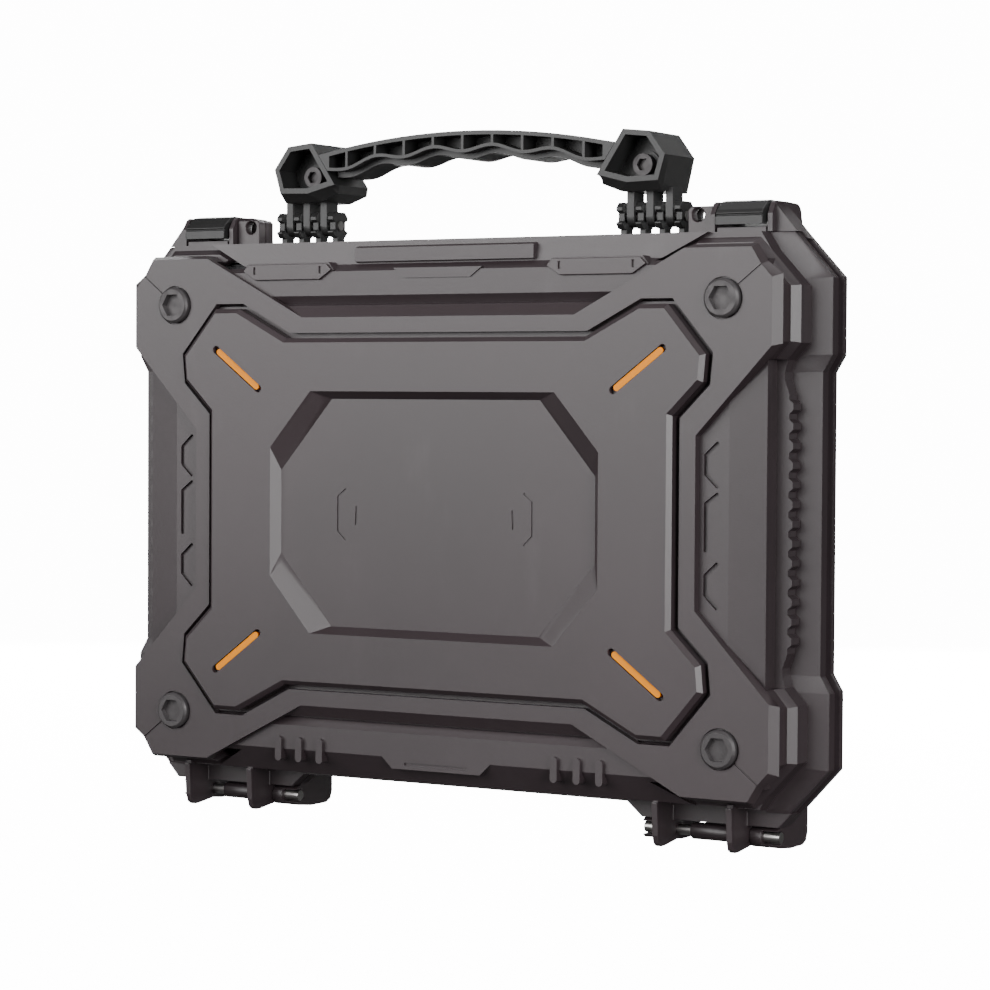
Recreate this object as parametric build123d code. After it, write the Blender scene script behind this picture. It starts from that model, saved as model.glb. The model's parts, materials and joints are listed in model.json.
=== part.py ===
from build123d import *
import math
import os

os.makedirs("parts", exist_ok=True)

# Waterproof tool case, standing on its hinge side, all sizes in millimetres
# +X to the right, +Y to the rear, +Z up, lid towards -Y

# Overall shape
case_depth = 80.0
stand_height = 15.1
running_gap = 0.05
seam_gap = 0.3

# Rim, half sizes about the centre of the front
rim_half_width = 166.2
rim_half_height = 112.9
centre_z = stand_height + rim_half_height
top_z = centre_z + rim_half_height
rim_corner_width = 16.5
rim_corner_height = 18.0
rim_corner_length = 30.1
waist_inset = 3.9
waist_slope = 6.6
lid_rim_thickness = 4.8
base_rim_thickness = 3.0
rim_front_y = -14.0
parting_y = -8.4
shadow_width = 3.8
shadow_depth = 2.6

# Steps of the lid front, from the raised panel back
panel_step = 3.5
frame_thickness = 3.5
band_rise = 0.8
cavity_wall = 4.5
front_y = -case_depth / 2
rear_y = case_depth / 2
frame_y = front_y + panel_step
shell_y = frame_y + frame_thickness
band_y = shell_y - band_rise
lid_floor_y = shell_y + cavity_wall
base_face_y = parting_y + seam_gap
lid_step_y = rim_front_y + lid_rim_thickness
base_step_y = lid_step_y + shadow_width
base_back_y = base_step_y + base_rim_thickness

# Lid body, half sizes and insets from the rim
lid_side_inset = 16.6
lid_edge_inset = 0.6
lid_edge_rise = 2.4
lid_corner_inset = 10.0
lid_side_step = 2.0
lid_half_width = rim_half_width - lid_side_inset
lid_half_height = rim_half_height - lid_edge_inset
top_edge_y = -26.5
side_panel_inset = 3.3
side_panel_edge = lid_half_width - side_panel_inset
side_panel_edge_y = -30.5
side_crease_width = 14.8
side_crease = side_panel_edge - side_crease_width
side_step_y = -22.5
cove_y = -15.5
valley_depth = 1.8
band_inset = 12.7
band_height = 10.0
band_outer = lid_half_height - band_inset
band_inner = band_outer - band_height

# Corner blocks of the lid around the armour corners
block_side_inset = 9.3
block_top_inset = 2.8
block_step = 6.2
block_bevel = 3.0
block_top_bevel = 2.1
block_top_cut = 17.2
block_foot_cut = 5.8
block_outer_x = rim_half_width - block_side_inset
block_front_y = shell_y + block_step
block_back_y = block_front_y + block_bevel
block_top = rim_half_height - block_top_inset
block_top_x = block_outer_x - block_top_cut
block_foot_x = block_outer_x - block_foot_cut
block_side_drop = 21.4
block_side_length = 22.0
block_foot_drop = 50.0
block_end_drop = 7.4
notch_drop = 11.4
block_side_top = rim_half_height - block_side_drop
block_side_low = block_side_top - block_side_length
block_foot = rim_half_height - block_foot_drop
block_end = rim_half_height - block_end_drop
block_end_gap = 3.4
notch_low = rim_half_height - notch_drop

# Cross shaped armour frame
arm_inset = 32.25
arm_slope = 4.85
arm_end_inset = 101.6
arm_half = rim_half_height - arm_inset
arm_foot = arm_half + arm_slope
arm_end_x = rim_half_width - arm_end_inset
frame_top_inset = 7.1
frame_side_inset = 15.6
frame_top = rim_half_height - frame_top_inset
frame_side_x = rim_half_width - frame_side_inset
frame_top_bevel = 1.4
frame_side_bevel = 3.1
frame_top_cut = 8.7
frame_nick_cut = 4.5
frame_nick_drop = 6.8
frame_corner_drop = 11.6
frame_top_x = frame_side_x - frame_top_cut
frame_nick_x = frame_side_x - frame_nick_cut
frame_nick = frame_top - frame_nick_drop
frame_side_top = frame_top - frame_corner_drop
frame_low_drop = 44.8
waist_cut = 31.9
waist_drop = 79.15
frame_side_low = rim_half_height - frame_low_drop
waist_x = frame_side_x - waist_cut
waist_half = rim_half_height - waist_drop
seam_width = 0.7
seam_depth = 0.5

# Raised centre panel and the groove round it, outlines as insets from the rim's sides and ends
panel_insets = [(95.3, 39.8), (71.4, 27.4), (58.4, 27.4), (41.4, 47.5), (42.5, 59.1), (55.5, 72.1)]
panel_points = [(rim_half_width - x, rim_half_height - z) for x, z in panel_insets]
panel_groove = 2.2
panel_bevel = 1.8
recess_insets = [(108.2, 62.8), (88.2, 86.2)]
recess_floor_insets = [(116.7, 65.9), (91.4, 95.7)]
recess_points = [(rim_half_width - x, rim_half_height - z) for x, z in recess_insets]
recess_floor_points = [(rim_half_width - x, rim_half_height - z) for x, z in recess_floor_insets]
recess_depth = 3.7
bracket_points = [(42.4, 9.9), (46.3, 6.8), (46.3, -7.3), (42.4, -11.0)]
tick_points = [(37.2, 3.0), (37.5, -4.7)]
bracket_width = 0.8
bracket_depth = 0.4

# Coloured accent bars in slots of the panel
accent_inset = 71.1
accent_drop = 53.7
accent_x = rim_half_width - accent_inset
accent_z = rim_half_height - accent_drop
accent_length = 26.4
accent_width = 2.7
accent_angle = 37.0
accent_sink = 0.5
accent_thickness = 2.2
accent_slot_extra = 3.8
accent_slot_gap = 0.5

# Socket screws of the armour corners and their brass inserts
screw_side_inset = 20.6
screw_top_inset = 19.4
screw_x = frame_side_x - screw_side_inset
screw_z = frame_top - screw_top_inset
screw_head_radius = 7.6
screw_head_height = 3.6
screw_head_sink = 1.2
screw_head_gap = 0.6
screw_socket = 8.9
screw_socket_depth = 2.4
screw_radius = 3.0
screw_length = 14.5
insert_radius = 4.6
insert_length = 8.0
boss_radius = 7.5

# Trim plates, centre bar, ribs and toothed grips of the lid
plate_gap = 6.8
plate_half_length = 22.2
plate_flat = 16.0
plate_upper = 2.6
plate_lower = 4.0
plate_inset = 12.6
plate_centre = rim_half_height - plate_inset
plate_thickness = 1.2
plate_seat_margin = 0.6
plate_slot_x = 16.5
plate_slot_width = 0.8
plate_slot_height = 2.8
plate_slot_depth = 0.7
bar_half_length = 42.6
bar_inset = 3.1
bar_height = 6.2
bar_high = rim_half_height - bar_inset
bar_low = bar_high - bar_height
bar_y = -30.2
mark_half_width = 21.1
mark_low_half = 15.5
mark_inset = 12.4
mark_height = 4.1
mark_high = rim_half_height - mark_inset
mark_low = mark_high - mark_height
mark_rise = 0.6
lip_half_width = 27.0
lip_low_half = 21.0
lip_inset = 8.6
lip_low = rim_half_height - lip_inset
lip_slot_half = 15.0
rib_x = [56.1, 66.5, 76.7]
rib_width = 3.2
rib_inset = 8.3
rib_length = 10.4
rib_low = rim_half_height - rib_inset
rib_top = rib_low - rib_length
rib_rise = 1.6
tooth_pitch = 7.5
tooth_height = 1.7
tooth_tip = 2.4
tooth_foot = 5.4
rack_inset = 65.1
rack_taper = 14.2
rack_half = rim_half_height - rack_inset
rack_end = rack_half + rack_taper
tooth_count = int((2 * rack_half - tooth_foot) / tooth_pitch) + 1
rack_x = lid_half_width + lid_side_step
rack_depth = 7.0
glyph_width = 1.7
glyph_depth = 1.2
glyph_inset = 24.7
glyph_x = side_panel_edge - glyph_inset
glyph_reach = 4.8
glyph_left_inset = 17.9
glyph_left_x = side_panel_edge - glyph_left_inset

# Inside of the case
side_wall = 11.6
end_wall = 7.7
cavity_half_width = lid_half_width - side_wall
cavity_half_height = lid_half_height - end_wall
cavity_corner = 14.0
lid_ledge = 9.1
lid_floor_half_height = cavity_half_height - lid_ledge
lid_ledge_y = -24.0
base_wall = 4.0
gasket_offset = 2.0
gasket_width = 3.6
gasket_depth = 3.2
gasket_proud = 0.2
foam_gap = 0.5
foam_cover = 1.2
pocket_side_margin = 34.0
pocket_end_margin = 38.6
pocket_half_width = cavity_half_width - pocket_side_margin
pocket_half_height = cavity_half_height - pocket_end_margin
pocket_depth = 28.0

# Base tub
base_side_inset = 16.2
base_edge_inset = 1.3
base_corner_inset = 12.0
base_half_width = rim_half_width - base_side_inset
base_half_height = rim_half_height - base_edge_inset
base_shoulder_y = 24.0
base_taper = 11.0
back_pad_half_width = 96.0
back_pad_half_height = 62.0
back_pad_corner = 12.0
back_pad_depth = 1.5

# Hinges along the lower edge
hinge_inset = 52.7
hinge_x = rim_half_width - hinge_inset
hinge_z = 5.2
hinge_flange_gap = 4.5
flange_inner = 29.0
flange_slope = 7.0
hinge_root = 1.2
fin_offset = 16.2
fin_thickness = 2.6
fin_front_y = -27.8
fin_tip_y = -23.5
fin_knuckle = 3.7
foot_offset = 17.8
foot_width = 11.9
foot_knuckle = 4.2
foot_rear_y = 16.0
foot_round = 4.7
hinge_pin_radius = 2.2
pin_window = 7.0
pin_window_half = 2.6
middle_knuckle_half = 8.5
middle_knuckle = 3.4
middle_web_half = 3.5

# Latches along the upper edge, heights above the rim
latch_inset = 38.6
latch_x = rim_half_width - latch_inset
latch_width = 20.4
latch_front_y = -18.9
latch_low_z = top_z + 2.5
latch_line_z = top_z + 6.3
latch_brow_z = top_z + 8.4
latch_top_z = top_z + 12.3
latch_pivot_y = 4.0
latch_pivot_z = top_z + 6.5
latch_barrel = 4.6
latch_pin_radius = 1.6
latch_side_gap = 1.2
ear_inner_width = 4.2
ear_outer_width = 2.5
ear_radius = 4.9
cheek_front_y = -16.6
cheek_lug_y = -13.3
cheek_thickness = 2.0
cheek_height = 11.7
horn_height = 9.7
horn_lean = 8.2
horn_round = 1.5
keeper_root = 0.9
keeper_ledge = 1.5
keeper_gap = 0.8
tab_root = 1.9

# Padlock tabs beside the latches
tab_offset = 19.2
tab_x = latch_x - tab_offset
tab_width = 11.0
tab_height = 10.3
tab_corner = 1.2
tab_rear_y = -3.0
lock_hole_offset = 1.2
lock_hole_height = 7.0
lock_hole_x = tab_x - lock_hole_offset
lock_hole_z = top_z + lock_hole_height
lock_hole_radius = 2.8

# Folding handle and its brackets, outlines from the first plate of the comb and the pivot
pivot_y = -2.9
pivot_height = 7.4
pivot_z = top_z + pivot_height
comb_inset = 96.7
comb_first_x = rim_half_width - comb_inset
comb_pitch = 8.7
comb_count = 4
comb_thickness = 2.8
comb_half_depth = 5.8
comb_rise = 5.8
comb_drop = 4.9
comb_cut = 2.0
comb_notch = 1.9
comb_notch_half = 1.6
post_front = 2.0
post_back = 3.4
rail_height = 2.0
rail_gap = 0.2
rail_key_half = 1.2
rail_key_depth = 3.0
prong_thickness = 3.2
prong_radius = 4.3
prong_height = 11.2
handle_pin_radius = 2.0
handle_pin_overhang = 0.4
knuckle_points = [(5.1, 34.4), (16.9, 33.2), (23.9, 23.7), (20.9, 13.6), (7.0, 13.2), (-4.1, 16.0), (-6.7, 16.5)]
knuckle_low_points = [(20.7, 9.7), (2.5, 9.9), (-6.0, 13.0)]
knuckle_front_y = -15.5
knuckle_rear_y = 11.5
knuckle_bevel = 4.0
knuckle_wall = 2.2
cup_depth = 12.5
bolt_offset = 9.8
bolt_x = comb_first_x + bolt_offset
bolt_height = 20.6
bolt_z = pivot_z + bolt_height
bolt_radius = 2.5
bolt_head_radius = 4.4
bolt_head_height = 3.4
bolt_socket = 4.6
bolt_seat_radius = 5.9
bolt_seat_height = 1.0
nut_width = 8.0
nut_height = 4.0
grip_top = 36.6
grip_end_gap = 9.5
grip_end_x = comb_first_x - grip_end_gap
grip_end_drop = 5.3
lobe_pitch = 28.4
rim_low = 27.6
rim_low_fall = 5.2
rim_wave = 2.56
lobe_drop = 2.4
lobe_inset = 5.0
grip_flange = 1.8
grip_rib = 1.2
grip_web = 7.0
tongue_outline = [(-9.5, 22.9), (-9.5, 27.9), (1.0, 28.7), (14.5, 27.7), (18.5, 20.6), (14.5, 15.5), (5.5, 15.5),
                  (-1.5, 22.9)]
tongue_thickness = 7.0
tongue_gap = 0.15
tongue_y = 2.5


def quarters(points):
    """Outline mirrored into all four quarters about the centre of the front."""
    right = points + [(x, -z) for x, z in reversed(points)]
    right = [(x, centre_z + z) for x, z in right]
    return right + [(-x, z) for x, z in reversed(right)]


def halves(points):
    """Outline mirrored left to right."""
    return points + [(-x, z) for x, z in reversed(points)]


def flat(points, grow=0.0):
    face = Polygon(*points, align=None)
    if grow:
        face = offset(face, amount=grow, kind=Kind.INTERSECTION)
    return face


def front_plane(y):
    return Plane(origin=(0, y, 0), x_dir=(1, 0, 0), z_dir=(0, -1, 0))


def side_plane(x):
    return Plane(origin=(x, 0, 0), x_dir=(0, 1, 0), z_dir=(1, 0, 0))


def deepened(face, front, back):
    """Front view face carried from one depth to another."""
    return extrude(front_plane(front) * face, amount=back - front, dir=(0, 1, 0))


def slab(points, front, back, grow=0.0):
    """Front view outline between two depths."""
    return deepened(flat(points, grow), front, back)


def beam(points, left, right):
    """Side view outline between two widths."""
    return extrude(side_plane(left) * flat(points), amount=right - left, dir=(1, 0, 0))


def post(points, low, high):
    """Plan view outline between two heights."""
    return extrude(Plane(origin=(0, 0, low)) * flat(points), amount=high - low, dir=(0, 0, 1))


def tapered(front_points, front, back_points, back):
    """Solid that changes from one outline to another over its depth."""
    first = (front_plane(front) * flat(front_points)).face()
    last = (front_plane(back) * flat(back_points)).face()
    return loft([first, last], ruled=True)


def rod_x(left, right, y, z, radius):
    plane = Plane(origin=(left, y, z), x_dir=(0, 1, 0), z_dir=(1, 0, 0))
    return extrude(plane * Circle(radius), amount=right - left, dir=(1, 0, 0))


def rod_y(x, z, front, back, radius):
    plane = Plane(origin=(x, front, z), x_dir=(1, 0, 0), z_dir=(0, -1, 0))
    return extrude(plane * Circle(radius), amount=back - front, dir=(0, 1, 0))


def hex_y(x, z, front, back, across):
    plane = Plane(origin=(x, front, z), x_dir=(1, 0, 0), z_dir=(0, -1, 0))
    return extrude(plane * RegularPolygon(across / 2, 6, major_radius=False), amount=back - front, dir=(0, 1, 0))


def box(x0, x1, y0, y1, z0, z1):
    return Pos((x0 + x1) / 2, (y0 + y1) / 2, (z0 + z1) / 2) * Box(x1 - x0, y1 - y0, z1 - z0)


def mirrored(shape):
    return mirror(shape, about=Plane.YZ)


def both(shape):
    return shape + mirrored(shape)


def rim_points(grow=0.0):
    low = rim_half_height - rim_corner_height
    return quarters([
        (rim_half_width - rim_corner_width + 0.4 * grow, rim_half_height + grow),
        (rim_half_width + grow, low + 0.4 * grow),
        (rim_half_width + grow, low - rim_corner_length - 0.4 * grow),
        (rim_half_width - waist_inset + grow, low - rim_corner_length - waist_slope - 0.4 * grow),
    ])


def lid_points():
    low = rim_half_height - rim_corner_height
    return quarters([
        (rim_half_width - rim_corner_width - lid_corner_inset, lid_half_height),
        (lid_half_width + lid_side_step, low - 1.0),
        (lid_half_width + lid_side_step, low - rim_corner_length),
        (lid_half_width, low - rim_corner_length - waist_slope),
    ])


def base_points(inset=0.0):
    low = rim_half_height - rim_corner_height
    return quarters([
        (rim_half_width - rim_corner_width - base_corner_inset - inset, base_half_height - inset),
        (base_half_width - inset, low - inset / 2),
    ])


def cavity_points(half_height=cavity_half_height, grow=0.0):
    return quarters([
        (cavity_half_width - cavity_corner + 0.4 * grow, half_height + grow),
        (cavity_half_width + grow, half_height - cavity_corner + 0.4 * grow),
    ])


def frame_front_points():
    return quarters([
        (arm_end_x, arm_half),
        (frame_corner_x(frame_top), frame_top),
        (frame_top_x, frame_top),
        (frame_nick_x, frame_nick),
        (frame_side_x, frame_side_top),
        (frame_side_x, frame_side_low),
        (waist_x, waist_half),
    ])


def frame_back_points():
    top = frame_top + frame_top_bevel
    side = frame_side_x + frame_side_bevel
    return quarters([
        (frame_corner_x(arm_foot), arm_foot),
        (frame_corner_x(top), top),
        (frame_top_x + 0.4 * frame_side_bevel, top),
        (frame_nick_x + 0.4 * frame_side_bevel, frame_nick + frame_top_bevel),
        (side, frame_side_top + frame_top_bevel),
        (side, frame_side_low + 0.6 * frame_top_bevel),
        (waist_x, waist_half),
    ])


def frame_corner_x(height):
    """Where the slanted inner edge of an armour corner reaches a height."""
    slope = (panel_points[1][1] - panel_points[0][1]) / (panel_points[1][0] - panel_points[0][0])
    return arm_end_x + (height - arm_half) / slope


def block_points(inset=0.0):
    """Outline of the upper right corner block, its end parallel to the armour's slanted edge."""
    top = block_top - inset * block_top_bevel
    side = block_outer_x - inset * block_bevel
    end = frame_corner_x(0) - block_end_gap - (1 - inset) * 4.0
    slope = frame_corner_x(1) - frame_corner_x(0)
    return [
        (end + block_end * slope, centre_z + block_end),
        (end + top * slope, centre_z + top),
        (block_top_x - inset * block_top_bevel, centre_z + top),
        (side, centre_z + block_side_top - 0.3 * inset),
        (side, centre_z + block_side_low + 0.5 * inset),
        (block_foot_x - inset * block_bevel, centre_z + block_foot + 0.3 * inset),
        (waist_x, centre_z + block_foot + 0.3 * inset),
        (waist_x, centre_z + notch_low),
    ]


def four(shape):
    """One corner copied to all four corners of the front."""
    lower = mirror(shape, about=Plane(origin=(0, 0, centre_z), z_dir=(0, 0, 1)))
    pair = shape + lower
    return pair + mirrored(pair)


def lid_body():
    lower = centre_z - lid_half_height
    upper = centre_z + lid_half_height
    side_view = [
        (parting_y, lower),
        (top_edge_y, lower + lid_edge_rise),
        (band_y, centre_z - band_outer),
        (band_y, centre_z - band_inner),
        (shell_y + valley_depth, centre_z - arm_foot - 0.7),
        (shell_y, centre_z - arm_foot),
        (shell_y, centre_z + arm_foot),
        (shell_y + valley_depth, centre_z + arm_foot + 0.7),
        (band_y, centre_z + band_inner),
        (band_y, centre_z + band_outer),
        (top_edge_y - 2.0, centre_z + bar_low - 1.0),
        (top_edge_y, upper),
        (parting_y, upper),
    ]
    plan = [
        (0, parting_y),
        (0, band_y),
        (side_crease - 1.5, band_y),
        (side_crease, shell_y),
        (side_panel_edge, side_panel_edge_y),
        (side_panel_edge, side_step_y),
        (block_outer_x, side_step_y),
        (block_outer_x, parting_y),
    ]
    core = beam(side_view, -block_outer_x, block_outer_x)
    core = core & both(post(plan, lower, upper))
    core = core & slab(lid_points(), front_y, parting_y)
    return core - four(slab(notch_points(), front_y, block_back_y))


def notch_points():
    """Corner strip where the lid steps back to the block beside the armour."""
    end = frame_corner_x(notch_low) - block_end_gap - 4.0
    rise = rim_half_height - notch_low + 1.0
    slope = frame_corner_x(1) - frame_corner_x(0)
    return [
        (end, centre_z + notch_low),
        (end + rise * slope, centre_z + notch_low + rise),
        (rim_half_width, centre_z + notch_low + rise),
        (rim_half_width, centre_z + notch_low),
    ]


def corner_blocks():
    front = tapered(block_points(1.0), block_front_y, block_points(), block_back_y)
    return four(front + slab(block_points(), block_back_y, rim_front_y))


def rack_teeth():
    """Toothed grip strip down one side of the lid."""
    points = [(side_panel_edge - 1.0, centre_z + rack_end), (side_panel_edge + 1.0, centre_z + rack_end)]
    points.append((rack_x, centre_z + rack_half + 2.0))
    for step in range(tooth_count):
        z = centre_z + (tooth_count - 1) * tooth_pitch / 2 - step * tooth_pitch
        points += [
            (rack_x, z + tooth_foot / 2),
            (rack_x + tooth_height, z + tooth_tip / 2),
            (rack_x + tooth_height, z - tooth_tip / 2),
            (rack_x, z - tooth_foot / 2),
        ]
    points.append((rack_x, centre_z - rack_half - 2.0))
    points += [(side_panel_edge + 1.0, centre_z - rack_end), (side_panel_edge - 1.0, centre_z - rack_end)]
    return slab(points, side_step_y, side_step_y + rack_depth)


def glyph(points):
    """Shallow engraved line through a row of points in the side panel."""
    line = Polyline(*points)
    path = offset(line, amount=glyph_width / 2)
    cut_y = shell_y
    return deepened(make_face(path.edges()), cut_y, cut_y + glyph_depth)


def side_marks():
    marks = []
    for x in (glyph_x, -glyph_left_x):
        reach = x + glyph_reach
        rows = [
            [(reach, 30.6), (x, 26.2), (x, 19.0), (reach, 14.4)],
            [(reach, 11.0), (x, 7.4), (x, -10.4)],
            [(reach, -15.8), (x, -20.2), (x, -27.6), (reach, -32.4)],
        ]
        for row in rows:
            marks.append(glyph([(px, centre_z + pz) for px, pz in row]))
    return marks


def plate_middle_x():
    return frame_corner_x(plate_centre) - plate_gap - plate_half_length


def plate_points(grow=0.0):
    middle = plate_middle_x()
    level = centre_z + plate_centre
    return [
        (middle - plate_half_length - grow, level),
        (middle - plate_flat, level - plate_lower - grow),
        (middle + plate_flat, level - plate_lower - grow),
        (middle + plate_half_length + grow, level),
        (middle + plate_half_length + grow - plate_upper, level + plate_upper + grow),
        (middle - plate_half_length - grow + plate_upper, level + plate_upper + grow),
    ]


def lid_trim():
    """Raised details moulded on the lid: plate seats, centre bar, mark, lower lip and ribs."""
    seat = both(slab(plate_points(plate_seat_margin), band_y, top_edge_y))
    bar = beam([
        (top_edge_y + 1.0, centre_z + bar_low - 1.2),
        (bar_y, centre_z + bar_low),
        (bar_y, centre_z + bar_high - 0.6),
        (top_edge_y + 1.0, centre_z + bar_high + 0.6),
    ], -bar_half_length, bar_half_length)
    mark = slab(halves([(mark_half_width, centre_z + mark_high), (mark_low_half, centre_z + mark_low)]),
                band_y - mark_rise, top_edge_y)
    lip = slab(halves([(lip_half_width, centre_z - band_outer + 1.0), (lip_low_half, centre_z - lip_low)]),
               band_y, top_edge_y)
    lip = lip - box(-lip_slot_half, lip_slot_half, band_y - 1.0, band_y + 0.8,
                    centre_z - lip_low + 1.6, centre_z - lip_low + 2.8)
    ribs = []
    for x in rib_x:
        rib = Pos(x, centre_z - (rib_top + rib_low) / 2) * SlotOverall(rib_low - rib_top, rib_width, rotation=90)
        ribs.append(both(deepened(rib, band_y - rib_rise, top_edge_y)))
    return seat + bar + mark + lip + ribs


def fin_profile():
    lower = centre_z - lid_half_height
    under_block = centre_z - block_top
    return [
        (block_front_y, lower + lid_edge_rise + hinge_root),
        (block_front_y, under_block),
        (fin_front_y, under_block),
        (fin_front_y + 0.9, 4.6),
        (fin_tip_y - 2.2, 1.3),
        (fin_tip_y, 0.0),
        (fin_tip_y + 3.0, 0.0),
        (parting_y, hinge_z - fin_knuckle),
        (parting_y, lower + hinge_root),
    ]


def lid_hinge():
    """Two fins and the flange between them, which carry the lid on the right hinge pin."""
    solid = hinge_flange(rim_front_y, parting_y, lid_edge_inset)
    for side in (-1, 1):
        middle = hinge_x + side * fin_offset
        left = middle - fin_thickness / 2
        right = middle + fin_thickness / 2
        solid += beam(fin_profile(), left, right) + rod_x(left, right, parting_y, hinge_z, fin_knuckle)
        solid -= rod_x(left - 1, right + 1, parting_y, hinge_z, hinge_pin_radius + running_gap)
    return solid


def latch_edges():
    """Left and right faces of the right latch."""
    return latch_x - latch_width / 2, latch_x + latch_width / 2


def cheek_profile():
    """Guard beside the latch, standing over the lid's edge."""
    lower = centre_z + lid_half_height + seam_gap
    high = top_z + cheek_height
    back = base_face_y + 2.0
    return [
        (back, lower),
        (cheek_front_y, lower),
        (cheek_front_y, high - 5.0),
        (cheek_front_y + 2.6, high - 1.0),
        (cheek_front_y + 4.4, high),
        (back, high),
    ]


def cheek_edges():
    """Inner faces of the walls on each side of the right latch."""
    inner, outer = latch_edges()
    return inner - latch_side_gap, outer + latch_side_gap


def horn_points(root):
    """Plate that runs up from the rim's corner beside the latch."""
    inner, outer = cheek_edges()
    corner = rim_half_width - rim_corner_width
    lean = rim_corner_width / rim_corner_height
    return [
        (outer, top_z - root),
        (corner + root * lean, top_z - root),
        (corner, top_z),
        (corner - horn_lean, top_z + horn_height),
        (corner - horn_lean - horn_round, top_z + cheek_height),
        (outer, top_z + cheek_height),
    ]


def tab_points(root):
    left = tab_x - tab_width / 2
    right = tab_x + tab_width / 2
    high = top_z + tab_height
    return [(left, top_z - root), (right, top_z - root), (right, high), (left + tab_corner, high),
            (left, high - tab_corner)]


def latch_keeper():
    """Catch plate on the lid's edge under the nose of the right latch."""
    inner, outer = cheek_edges()
    return box(inner + keeper_gap, outer - keeper_gap, cheek_front_y, parting_y,
               centre_z + lid_half_height - keeper_root, top_z + keeper_ledge)


def padlock_tab():
    """Tab on the lid's edge with the lid's half of the right padlock hole."""
    tab = slab(tab_points(tab_root), cheek_lug_y, parting_y)
    return tab - rod_y(lock_hole_x, lock_hole_z, cheek_lug_y - 1, parting_y + 1, lock_hole_radius)


def hinge_flange(front, back, root):
    """Plate that carries the rim down over the right hinge."""
    corner = rim_half_width - rim_corner_width
    lean = rim_corner_width / rim_corner_height
    drop = stand_height - hinge_z - hinge_flange_gap
    inner = hinge_x - flange_inner
    points = [
        (corner + root * lean, stand_height + root),
        (corner - drop * lean, stand_height - drop),
        (inner, stand_height - drop),
        (inner - flange_slope, stand_height + root),
    ]
    return slab(points, front, back)


def lid_shell():
    solid = lid_body() + corner_blocks()
    solid += tapered(lid_points(), cove_y, rim_points(-0.6), rim_front_y)
    solid += slab(rim_points(-0.6), rim_front_y, lid_step_y)
    solid += slab(rim_points(-shadow_depth), lid_step_y, parting_y)
    solid += both(rack_teeth())
    solid += lid_trim()
    solid -= both(lid_hinge())
    solid -= both(latch_keeper() + padlock_tab())
    solid -= slab(cavity_points(lid_floor_half_height), lid_floor_y, lid_ledge_y)
    solid -= slab(cavity_points(), lid_ledge_y, parting_y)
    groove = slab(cavity_points(grow=gasket_offset + gasket_width), parting_y - gasket_depth, parting_y)
    groove -= slab(cavity_points(grow=gasket_offset), parting_y - gasket_depth, parting_y)
    solid -= groove
    solid += four(rod_y(screw_x, centre_z + screw_z, lid_floor_y - 1.0, insert_rear_y(), boss_radius))
    solid -= four(rod_y(screw_x, centre_z + screw_z, front_y, insert_rear_y(), screw_radius + 0.3))
    solid -= four(rod_y(screw_x, centre_z + screw_z, insert_rear_y() - insert_length, insert_rear_y(),
                        insert_radius))
    solid -= slab(frame_back_points(), front_y, shell_y)
    for mark in side_marks():
        solid -= mark
    return solid


def insert_rear_y():
    return screw_seat_y() + screw_length + 1.0


def screw_seat_y():
    return frame_y + screw_head_sink


def armour_frame():
    plate = tapered(frame_front_points(), frame_y, frame_back_points(), shell_y)
    corner = flat(frame_back_points()) & flat(block_points(1.0))
    skirt = deepened(corner, shell_y, block_front_y)
    plate += four(skirt) - lid_body() - corner_blocks()
    plate -= slab(quarters(panel_points), front_y, shell_y, grow=panel_groove / 2)
    plate -= four(rod_y(screw_x, centre_z + screw_z, front_y, screw_seat_y(), screw_head_radius + screw_head_gap))
    plate -= four(rod_y(screw_x, centre_z + screw_z, front_y, rim_front_y, screw_radius + 0.3))
    plate -= four(slab(corner_seam(), frame_y, frame_y + seam_depth))
    return plate


def stripe(start, end, width):
    """Four corners of a straight stripe between two points."""
    run = math.hypot(end[0] - start[0], end[1] - start[1])
    side_x = (end[1] - start[1]) / run * width / 2
    side_z = (end[0] - start[0]) / run * width / 2
    return [(start[0] - side_x, start[1] + side_z), (end[0] - side_x, end[1] + side_z),
            (end[0] + side_x, end[1] - side_z), (start[0] + side_x, start[1] - side_z)]


def corner_seam():
    """Fine groove from the screw to the nick in the armour's corner."""
    return stripe((screw_x, centre_z + screw_z), (frame_nick_x, centre_z + frame_nick), seam_width)


def accent_bar(side, level, length, width, front, back):
    turn = accent_angle * side * level
    face = Pos(side * accent_x, centre_z + level * accent_z) * SlotOverall(length, width, rotation=turn)
    return deepened(face, front, back)


def accent(side, level):
    front = front_y + accent_sink
    return accent_bar(side, level, accent_length, accent_width, front, front + accent_thickness)


def accent_slot(side, level):
    return accent_bar(side, level, accent_length + accent_slot_extra, accent_width + accent_slot_gap,
                      front_y - 1.0, front_y + accent_sink + accent_thickness)


def centre_panel():
    front_points = flat(quarters(panel_points), -panel_groove / 2 - panel_bevel)
    edge_points = flat(quarters(panel_points), -panel_groove / 2)
    edge_y = front_y + panel_bevel
    solid = deepened(edge_points, edge_y, shell_y)
    top = loft([(front_plane(front_y) * front_points).face(), (front_plane(edge_y) * edge_points).face()],
               ruled=True)
    solid += top
    floor_y = front_y + recess_depth
    solid -= tapered(quarters(recess_points), front_y, quarters(recess_floor_points), floor_y)
    marks = list(zip(bracket_points, bracket_points[1:])) + [tick_points]
    for start, end in marks:
        line = [(x, centre_z + z) for x, z in (start, end)]
        solid -= both(slab(stripe(line[0], line[1], bracket_width), floor_y, floor_y + bracket_depth))
    for side in (-1, 1):
        for level in (-1, 1):
            solid -= accent_slot(side, level)
    return solid


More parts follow.
